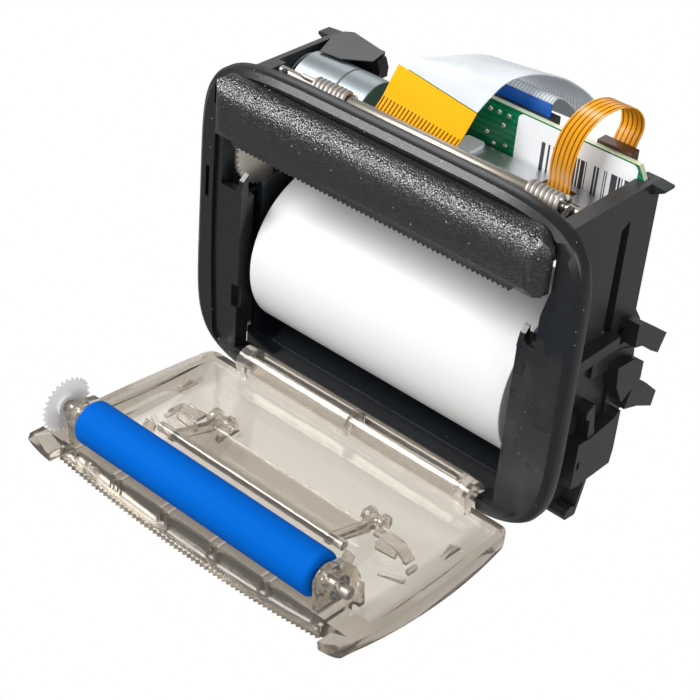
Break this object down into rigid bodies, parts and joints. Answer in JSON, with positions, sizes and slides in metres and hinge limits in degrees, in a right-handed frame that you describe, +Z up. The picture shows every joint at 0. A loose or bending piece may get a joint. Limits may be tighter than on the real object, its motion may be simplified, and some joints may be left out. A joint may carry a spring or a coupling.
{
  "type": "receipt printer",
  "caption": "Panel-mount receipt printer with a swing-down clear door that carries the platen roller, above a drop-in paper bucket.",
  "frame": {"origin": "centre of the panel opening, on the rear face of the bezel's flange", "axes": "+X across the printer to its right as seen from behind the bezel's front being at -Y, +Y from the panel towards the rear, +Z up"},
  "size_m": [0.1146, 0.1238, 0.0987],
  "materials": {
    "bezel": "satin moulded charcoal black",
    "chassis": "satin moulded dark grey",
    "bar": "glossy grained black",
    "bucket": "gloss blue-black",
    "smoked": "clear smoked warm grey",
    "steel": "satin drawn steel",
    "zinc": "zinc plated",
    "platen": "smooth blue rubber",
    "nylon": "white nylon",
    "ivory": "ivory acetal",
    "brass": "turned brass",
    "board": "green solder mask",
    "label": "white label",
    "black_part": "black",
    "cream_part": "cream moulded",
    "blue_tape": "blue stiffener film",
    "ribbon": "white film with grey conductors",
    "brown_part": "brown moulded",
    "amber": "amber polyimide film",
    "alumina": "glazed ceramic",
    "aluminium": "plain die cast",
    "paper": "white thermal paper",
    "core": "plain cardboard"
  },
  "bodies": {
    "housing": {"front_bezel": "bezel", "hinge_pins": "bezel", "right_side_wall": "chassis", "left_side_wall": "chassis", "right_mounting_frame": "chassis", "left_mounting_frame": "chassis", "paper_bucket": "bucket", "cross_plate": "zinc", "gear_case": "chassis", "gear_axle": "steel", "lever_shaft": "steel", "left_torsion_spring": "steel", "right_torsion_spring": "steel", "stepper_motor": "zinc", "motor_flange": "zinc", "cable_guard": "chassis", "main_board": "board", "board_screws": "steel", "board_label": "label", "processor_chip": "black_part", "power_socket": "cream_part", "data_socket": "cream_part", "ribbon_socket": "black_part", "ribbon_stiffener": "blue_tape", "ribbon_cable": "ribbon", "flex_socket": "brown_part", "sensor_flex": "amber", "head_film": "amber", "paper_sensor": "cream_part", "head_springs": "steel"},
    "door": {"door_shell": "smoked", "flap_spring": "smoked", "platen_bushes": "smoked"},
    "guide": {"guide_flap": "smoked"},
    "platen": {"platen_roller": "platen", "platen_shaft": "steel", "platen_gear": "nylon"},
    "drive": {"drive_wheel": "ivory"},
    "rotor": {"motor_pinion": "brass"},
    "lever": {"release_bar": "bar", "latch_levers": "bar"},
    "head": {"heat_sink": "aluminium", "thermal_head": "alumina"},
    "roll": {"paper_roll": "paper", "paper_core": "core"}
  },
  "joints": [
    {"name": "door_swing", "type": "hinge", "parent": "housing", "child": "door", "pos_m": [0, -0.0034, -0.0404], "axis": [-1, 0, 0], "range_deg": [0, 87.3]},
    {"name": "guide_swing", "type": "hinge", "parent": "door", "child": "guide", "pos_m": [0, -0.02588, -0.04165], "axis": [-1, 0, 0], "range_deg": [-5, 0], "stiffness_Nm_per_rad": 0.02, "springref_deg": 17.19},
    {"name": "platen_spin", "type": "hinge", "parent": "door", "child": "platen", "pos_m": [0, -0.05824, -0.03123], "axis": [1, 0, 0], "continuous": true},
    {"name": "drive_spin", "type": "hinge", "parent": "housing", "child": "drive", "pos_m": [0, 0.01311, 0.01362], "axis": [1, 0, 0], "continuous": true},
    {"name": "motor_spin", "type": "hinge", "parent": "housing", "child": "rotor", "pos_m": [0, 0.02062, 0.02775], "axis": [1, 0, 0], "continuous": true},
    {"name": "lever_tilt", "type": "hinge", "parent": "housing", "child": "lever", "pos_m": [0, 0.0094, 0.03555], "axis": [-1, 0, 0], "range_deg": [0, 8], "stiffness_Nm_per_rad": 0.1, "springref_deg": -11.46},
    {"name": "head_tilt", "type": "hinge", "parent": "housing", "child": "head", "pos_m": [0, 0.0107, 0.0231], "axis": [-1, 0, 0], "range_deg": [0, 2], "stiffness_Nm_per_rad": 0.4, "springref_deg": -5.73, "deforming": ["head_springs"]},
    {"name": "roll_spin", "type": "hinge", "parent": "housing", "child": "roll", "pos_m": [0, 0.0187, -0.0136], "axis": [1, 0, 0], "continuous": true}
  ],
  "couplings": [
    {"joint": "drive_spin", "follows": "platen_spin", "ratio": -2.3333},
    {"joint": "motor_spin", "follows": "platen_spin", "ratio": 7}
  ]
}
